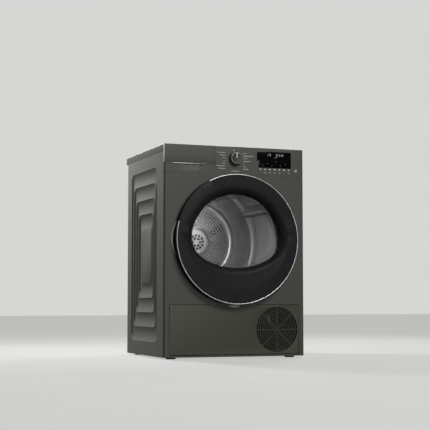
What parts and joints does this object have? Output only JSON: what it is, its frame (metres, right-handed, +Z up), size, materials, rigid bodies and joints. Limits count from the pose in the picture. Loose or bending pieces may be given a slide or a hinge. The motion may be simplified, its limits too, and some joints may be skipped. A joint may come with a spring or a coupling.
{
  "type": "clothes dryer",
  "caption": "Free-standing front-loading heat-pump clothes dryer with a round glazed door, tank drawer, control panel and kick flap with a round grille.",
  "frame": {"origin": "on the floor under the centre of the bounding box", "axes": "+Z up, the door faces -Y, +X is to the right of someone facing the door"},
  "size_m": [0.598, 0.568, 0.846],
  "materials": {
    "graphite_enamel": "graphite metallic powder enamel on sheet steel",
    "side_enamel": "graphite metallic powder enamel, lighter on the pressed sides",
    "graphite_plastic": "graphite metallic moulded ABS",
    "charcoal_plastic": "charcoal satin moulded ABS",
    "bright_trim": "satin chrome plating on plastic",
    "smoked_glass": "tinted safety glass",
    "clear_glass": "clear pressed glass",
    "display_black": "black glossy display window",
    "stainless": "brushed stainless steel drum sheet",
    "galvanised": "galvanised sheet steel",
    "base_plastic": "grey filled polypropylene",
    "light_plastic": "light grey moulded polypropylene",
    "tank_plastic": "translucent polypropylene",
    "black_rubber": "black moulded rubber",
    "grey_felt": "pressed wool felt",
    "aluminium_fins": "mill finish aluminium fins",
    "copper_pipe": "drawn copper tube",
    "black_enamel": "black enamelled steel shell",
    "motor_steel": "bare lamination steel and die-cast ends",
    "circuit_board": "green printed circuit board",
    "bearing_steel": "ground bearing steel"
  },
  "bodies": {
    "cabinet": {"base_tray": "base_plastic", "left_side_panel": "side_enamel", "right_side_panel": "side_enamel", "rear_panel": "galvanised", "rear_duct_cover": "galvanised", "top_panel": "graphite_enamel", "front_panel": "graphite_enamel", "control_panel": "graphite_plastic", "display_window": "display_black", "control_board": "circuit_board", "front_bulkhead": "light_plastic", "drum_front_seal": "grey_felt", "drum_rear_seal": "grey_felt", "door_seal": "black_rubber", "door_hinge_bracket": "galvanised", "rear_bearing": "bearing_steel", "tank_guide": "base_plastic", "motor_housing": "motor_steel", "motor_bracket": "galvanised", "drive_belt": "black_rubber", "compressor": "black_enamel", "evaporator": "aluminium_fins", "condenser": "aluminium_fins", "refrigerant_pipes": "copper_pipe", "blower_housing": "base_plastic", "condensate_pump": "base_plastic", "cooling_fan_frame": "base_plastic", "exchanger_cover": "base_plastic", "duct_cover": "base_plastic", "rear_connectors": "charcoal_plastic", "cabinet_screws": "galvanised"},
    "drum": {"drum_shell": "stainless", "drum_back": "stainless", "drum_lifters": "stainless", "drum_shaft": "bearing_steel"},
    "motor_rotor": {"motor_rotor": "bearing_steel", "blower_wheel": "base_plastic"},
    "idler": {"idler_pulley": "light_plastic"},
    "tension_arm": {"tension_arm": "galvanised"},
    "door": {"door_frame": "charcoal_plastic", "door_trim_ring": "bright_trim", "door_glass": "smoked_glass", "door_bowl": "clear_glass", "door_back_frame": "base_plastic", "door_hinge_leaf": "galvanised", "door_latch_hook": "light_plastic"},
    "tank_drawer": {"tank_front": "graphite_plastic", "tank_handle_trim": "bright_trim", "water_tank": "tank_plastic"},
    "kick_flap": {"kick_flap": "graphite_plastic"},
    "program_knob": {"program_knob": "graphite_plastic"},
    "start_button": {"start_button": "graphite_plastic"},
    "lint_filter": {"lint_filter": "base_plastic"},
    "cooling_fan": {"cooling_fan_rotor": "base_plastic"},
    "exchanger_latch_left": {"exchanger_latch_left": "light_plastic"},
    "exchanger_latch_right": {"exchanger_latch_right": "light_plastic"},
    "foot_front_left": {"foot_front_left": "black_rubber"},
    "foot_front_right": {"foot_front_right": "black_rubber"},
    "foot_rear_left": {"foot_rear_left": "black_rubber"},
    "foot_rear_right": {"foot_rear_right": "black_rubber"}
  },
  "joints": [
    {"name": "door_hinge", "type": "hinge", "parent": "cabinet", "child": "door", "pos_m": [0.246, -0.269, 0.473], "axis": [0, 0, 1], "range_deg": [0, 115]},
    {"name": "drum_spin", "type": "hinge", "parent": "cabinet", "child": "drum", "pos_m": [0, 0.02, 0.484], "axis": [0, 1, 0], "continuous": true},
    {"name": "motor_spin", "type": "hinge", "parent": "cabinet", "child": "motor_rotor", "pos_m": [0.15, 0.16, 0.118], "axis": [0, 1, 0], "continuous": true},
    {"name": "arm_pivot", "type": "hinge", "parent": "cabinet", "child": "tension_arm", "pos_m": [0.11, 0.11, 0.1], "axis": [0, -1, 0], "range_deg": [0, 8], "stiffness_Nm_per_rad": 4, "springref_deg": -17.19},
    {"name": "idler_spin", "type": "hinge", "parent": "tension_arm", "child": "idler", "pos_m": [0.06973, 0.1, 0.15021], "axis": [0, 1, 0], "continuous": true},
    {"name": "tank_slide", "type": "slide", "parent": "cabinet", "child": "tank_drawer", "axis": [0, -1, 0], "range_m": [0, 0.38]},
    {"name": "flap_hinge", "type": "hinge", "parent": "cabinet", "child": "kick_flap", "pos_m": [0, -0.241, 0.023], "axis": [1, 0, 0], "range_deg": [0, 90]},
    {"name": "knob_turn", "type": "hinge", "parent": "cabinet", "child": "program_knob", "pos_m": [0, -0.25, 0.7975], "axis": [0, 1, 0], "continuous": true},
    {"name": "start_press", "type": "slide", "parent": "cabinet", "child": "start_button", "axis": [0, 1, 0], "range_m": [0, 0.0015], "stiffness_N_per_m": 800, "springref_m": -0.001},
    {"name": "filter_slide", "type": "slide", "parent": "cabinet", "child": "lint_filter", "axis": [0, 0, 1], "range_m": [0, 0.105]},
    {"name": "fan_spin", "type": "hinge", "parent": "cabinet", "child": "cooling_fan", "pos_m": [0.1806, -0.216, 0.113], "axis": [0, 1, 0], "continuous": true},
    {"name": "latch_left_turn", "type": "hinge", "parent": "cabinet", "child": "exchanger_latch_left", "pos_m": [-0.25, -0.236, 0.111], "axis": [0, 1, 0], "range_deg": [0, 90]},
    {"name": "latch_right_turn", "type": "hinge", "parent": "cabinet", "child": "exchanger_latch_right", "pos_m": [0.016, -0.236, 0.111], "axis": [0, -1, 0], "range_deg": [0, 90]},
    {"name": "foot_front_left_screw", "type": "slide", "parent": "cabinet", "child": "foot_front_left", "axis": [0, 0, -1], "range_m": [0, 0.012]},
    {"name": "foot_front_right_screw", "type": "slide", "parent": "cabinet", "child": "foot_front_right", "axis": [0, 0, -1], "range_m": [0, 0.012]},
    {"name": "foot_rear_left_screw", "type": "slide", "parent": "cabinet", "child": "foot_rear_left", "axis": [0, 0, -1], "range_m": [0, 0.012]},
    {"name": "foot_rear_right_screw", "type": "slide", "parent": "cabinet", "child": "foot_rear_right", "axis": [0, 0, -1], "range_m": [0, 0.012]}
  ],
  "couplings": [
    {"joint": "motor_spin", "follows": "drum_spin", "ratio": 37.533},
    {"joint": "idler_spin", "follows": "drum_spin", "ratio": -10.623}
  ]
}
